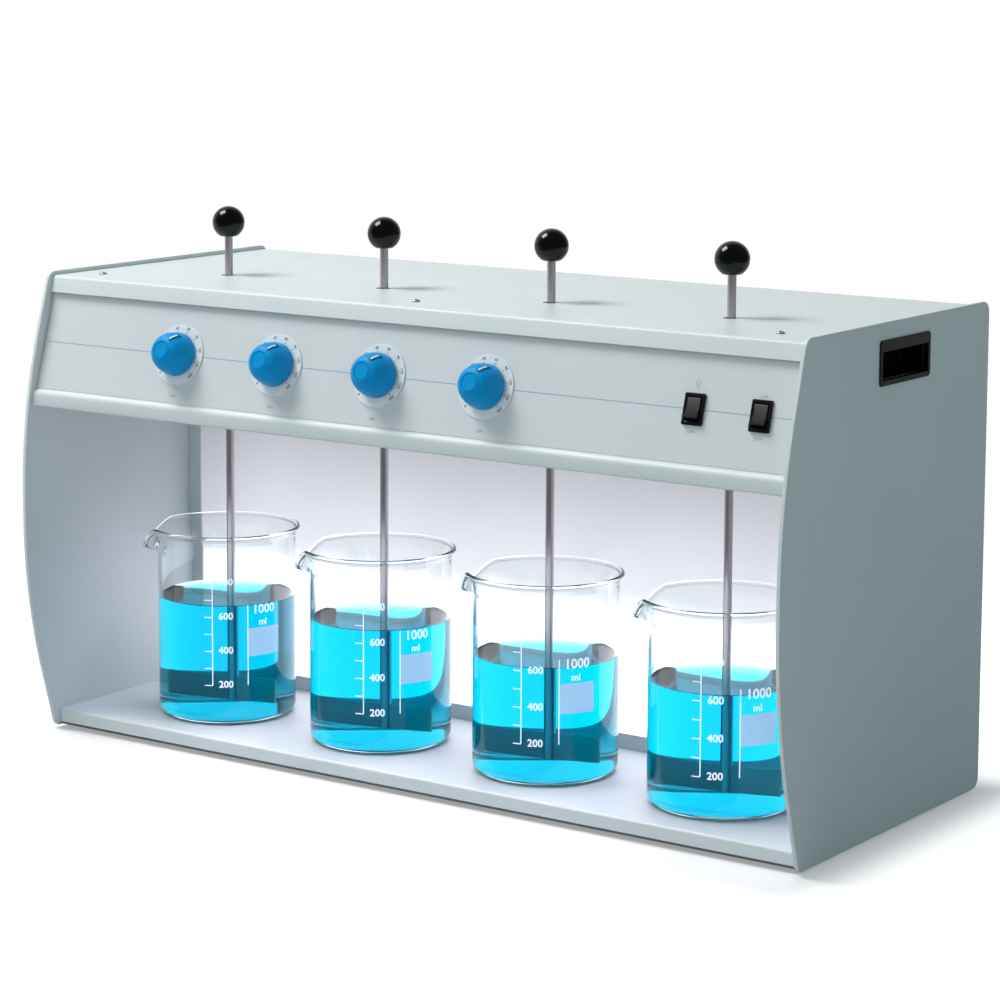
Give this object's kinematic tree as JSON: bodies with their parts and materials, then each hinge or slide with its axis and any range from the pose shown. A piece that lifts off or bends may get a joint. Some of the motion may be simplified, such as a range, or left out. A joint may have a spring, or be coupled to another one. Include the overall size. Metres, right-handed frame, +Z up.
{
  "type": "jar tester",
  "caption": "Bench jar tester: a backlit open bay with beakers under height-adjustable rotating paddle rods, speed selector dials and rocker switches.",
  "frame": {"origin": "centre of the instrument's footprint, on the bench under its feet", "axes": "+Z up, -Y out of the open front of the bay, +X to the right as seen from the front"},
  "size_m": [0.6474, 0.283, 0.3954],
  "materials": {
    "paint_shell": "light grey fine-texture powder coat",
    "fascia_film": "pale grey printed polyester film",
    "fascia_sheet": "pale grey paint",
    "zinc_steel": "zinc plated sheet",
    "stainless": "brushed stainless steel",
    "black_plastic": "black moulded plastic",
    "ball_plastic": "polished black phenolic",
    "black_rubber": "black rubber",
    "opal_acrylic": "opal white acrylic, lit from behind",
    "white_paint": "white reflector paint",
    "lamp_glass": "opal coated lamp tube",
    "white_plastic": "white moulded plastic",
    "board_green": "green solder mask",
    "cast_grey": "grey painted casting",
    "dial_white": "white printed dial plate",
    "knob_blue": "blue moulded nylon with a satin gloss",
    "glass_clear": "clear borosilicate glass",
    "screw_steel": "nickel plated screws"
  },
  "bodies": {
    "root": {"left_side_panel": "paint_shell", "right_side_panel": "paint_shell", "left_handle": "black_plastic", "right_handle": "black_plastic", "top_cover": "paint_shell", "control_panel": "fascia_sheet", "panel_overlay": "fascia_film", "front_rail": "paint_shell", "mechanism_floor": "paint_shell", "motor_bracket": "zinc_steel", "base_tray": "paint_shell", "bottom_plate": "zinc_steel", "feet": "black_rubber", "light_frame": "paint_shell", "diffuser_panel": "opal_acrylic", "reflector": "white_paint", "lamp_tube": "lamp_glass", "lamp_holders": "white_plastic", "ballast": "zinc_steel", "rear_cover": "paint_shell", "power_supply": "zinc_steel", "control_board": "board_green", "speed_selectors": "black_plastic", "gearmotor_1": "cast_grey", "gearmotor_2": "cast_grey", "gearmotor_3": "cast_grey", "gearmotor_4": "cast_grey", "spindle_bearings": "stainless", "dial_plates": "dial_white", "switch_housings": "black_plastic", "mains_inlet": "black_plastic", "screws": "screw_steel"},
    "spindle_1_body": {"spindle_1": "stainless"},
    "stirrer_1_body": {"stirrer_1": "stainless", "ball_knob_1": "ball_plastic"},
    "spindle_2_body": {"spindle_2": "stainless"},
    "stirrer_2_body": {"stirrer_2": "stainless", "ball_knob_2": "ball_plastic"},
    "spindle_3_body": {"spindle_3": "stainless"},
    "stirrer_3_body": {"stirrer_3": "stainless", "ball_knob_3": "ball_plastic"},
    "spindle_4_body": {"spindle_4": "stainless"},
    "stirrer_4_body": {"stirrer_4": "stainless", "ball_knob_4": "ball_plastic"},
    "knob_1_body": {"speed_knob_1": "knob_blue", "selector_shaft_1": "stainless"},
    "knob_2_body": {"speed_knob_2": "knob_blue", "selector_shaft_2": "stainless"},
    "knob_3_body": {"speed_knob_3": "knob_blue", "selector_shaft_3": "stainless"},
    "knob_4_body": {"speed_knob_4": "knob_blue", "selector_shaft_4": "stainless"},
    "lamp_rocker_body": {"lamp_rocker": "black_plastic"},
    "power_rocker_body": {"power_rocker": "black_plastic"},
    "fuse_drawer_body": {"fuse_drawer": "black_plastic", "fuse": "lamp_glass"},
    "beaker_1_body": {"beaker_1": "glass_clear"},
    "beaker_2_body": {"beaker_2": "glass_clear"},
    "beaker_3_body": {"beaker_3": "glass_clear"},
    "beaker_4_body": {"beaker_4": "glass_clear"}
  },
  "joints": [
    {"name": "stir_1", "type": "hinge", "parent": "root", "child": "spindle_1_body", "pos_m": [-0.2172, -0.0285, 0.3], "axis": [0, 0, 1], "continuous": true},
    {"name": "rod_height_1", "type": "slide", "parent": "spindle_1_body", "child": "stirrer_1_body", "axis": [0, 0, 1], "range_m": [-0.002, 0.15]},
    {"name": "stir_2", "type": "hinge", "parent": "root", "child": "spindle_2_body", "pos_m": [-0.0724, -0.0285, 0.3], "axis": [0, 0, 1], "continuous": true},
    {"name": "rod_height_2", "type": "slide", "parent": "spindle_2_body", "child": "stirrer_2_body", "axis": [0, 0, 1], "range_m": [-0.002, 0.15]},
    {"name": "stir_3", "type": "hinge", "parent": "root", "child": "spindle_3_body", "pos_m": [0.0724, -0.0285, 0.3], "axis": [0, 0, 1], "continuous": true},
    {"name": "rod_height_3", "type": "slide", "parent": "spindle_3_body", "child": "stirrer_3_body", "axis": [0, 0, 1], "range_m": [-0.002, 0.15]},
    {"name": "stir_4", "type": "hinge", "parent": "root", "child": "spindle_4_body", "pos_m": [0.2172, -0.0285, 0.3], "axis": [0, 0, 1], "continuous": true},
    {"name": "rod_height_4", "type": "slide", "parent": "spindle_4_body", "child": "stirrer_4_body", "axis": [0, 0, 1], "range_m": [-0.002, 0.15]},
    {"name": "speed_1", "type": "hinge", "parent": "root", "child": "knob_1_body", "pos_m": [-0.1882, -0.11865, 0.2959], "axis": [0, -0.9613, 0.2756], "range_deg": [-105, 165]},
    {"name": "speed_2", "type": "hinge", "parent": "root", "child": "knob_2_body", "pos_m": [-0.0982, -0.11865, 0.2959], "axis": [0, -0.9613, 0.2756], "range_deg": [-105, 165]},
    {"name": "speed_3", "type": "hinge", "parent": "root", "child": "knob_3_body", "pos_m": [-0.0082, -0.11865, 0.2959], "axis": [0, -0.9613, 0.2756], "range_deg": [-105, 165]},
    {"name": "speed_4", "type": "hinge", "parent": "root", "child": "knob_4_body", "pos_m": [0.0818, -0.11865, 0.2959], "axis": [0, -0.9613, 0.2756], "range_deg": [-105, 165]},
    {"name": "lamp_switch", "type": "hinge", "parent": "root", "child": "lamp_rocker_body", "pos_m": [0.2445, -0.11817, 0.29576], "axis": [1, 0, 0], "range_deg": [0, 20]},
    {"name": "power_switch", "type": "hinge", "parent": "root", "child": "power_rocker_body", "pos_m": [0.294, -0.11817, 0.29576], "axis": [1, 0, 0], "range_deg": [0, 20]},
    {"name": "fuse_drawer_slide", "type": "slide", "parent": "root", "child": "fuse_drawer_body", "axis": [0, 1, 0], "range_m": [0, 0.012]},
    {"name": "beaker_lift_1", "type": "slide", "parent": "root", "child": "beaker_1_body", "axis": [0, 0, 1], "range_m": [0, 0.004]},
    {"name": "beaker_lift_2", "type": "slide", "parent": "root", "child": "beaker_2_body", "axis": [0, 0, 1], "range_m": [0, 0.004]},
    {"name": "beaker_lift_3", "type": "slide", "parent": "root", "child": "beaker_3_body", "axis": [0, 0, 1], "range_m": [0, 0.004]},
    {"name": "beaker_lift_4", "type": "slide", "parent": "root", "child": "beaker_4_body", "axis": [0, 0, 1], "range_m": [0, 0.004]}
  ]
}
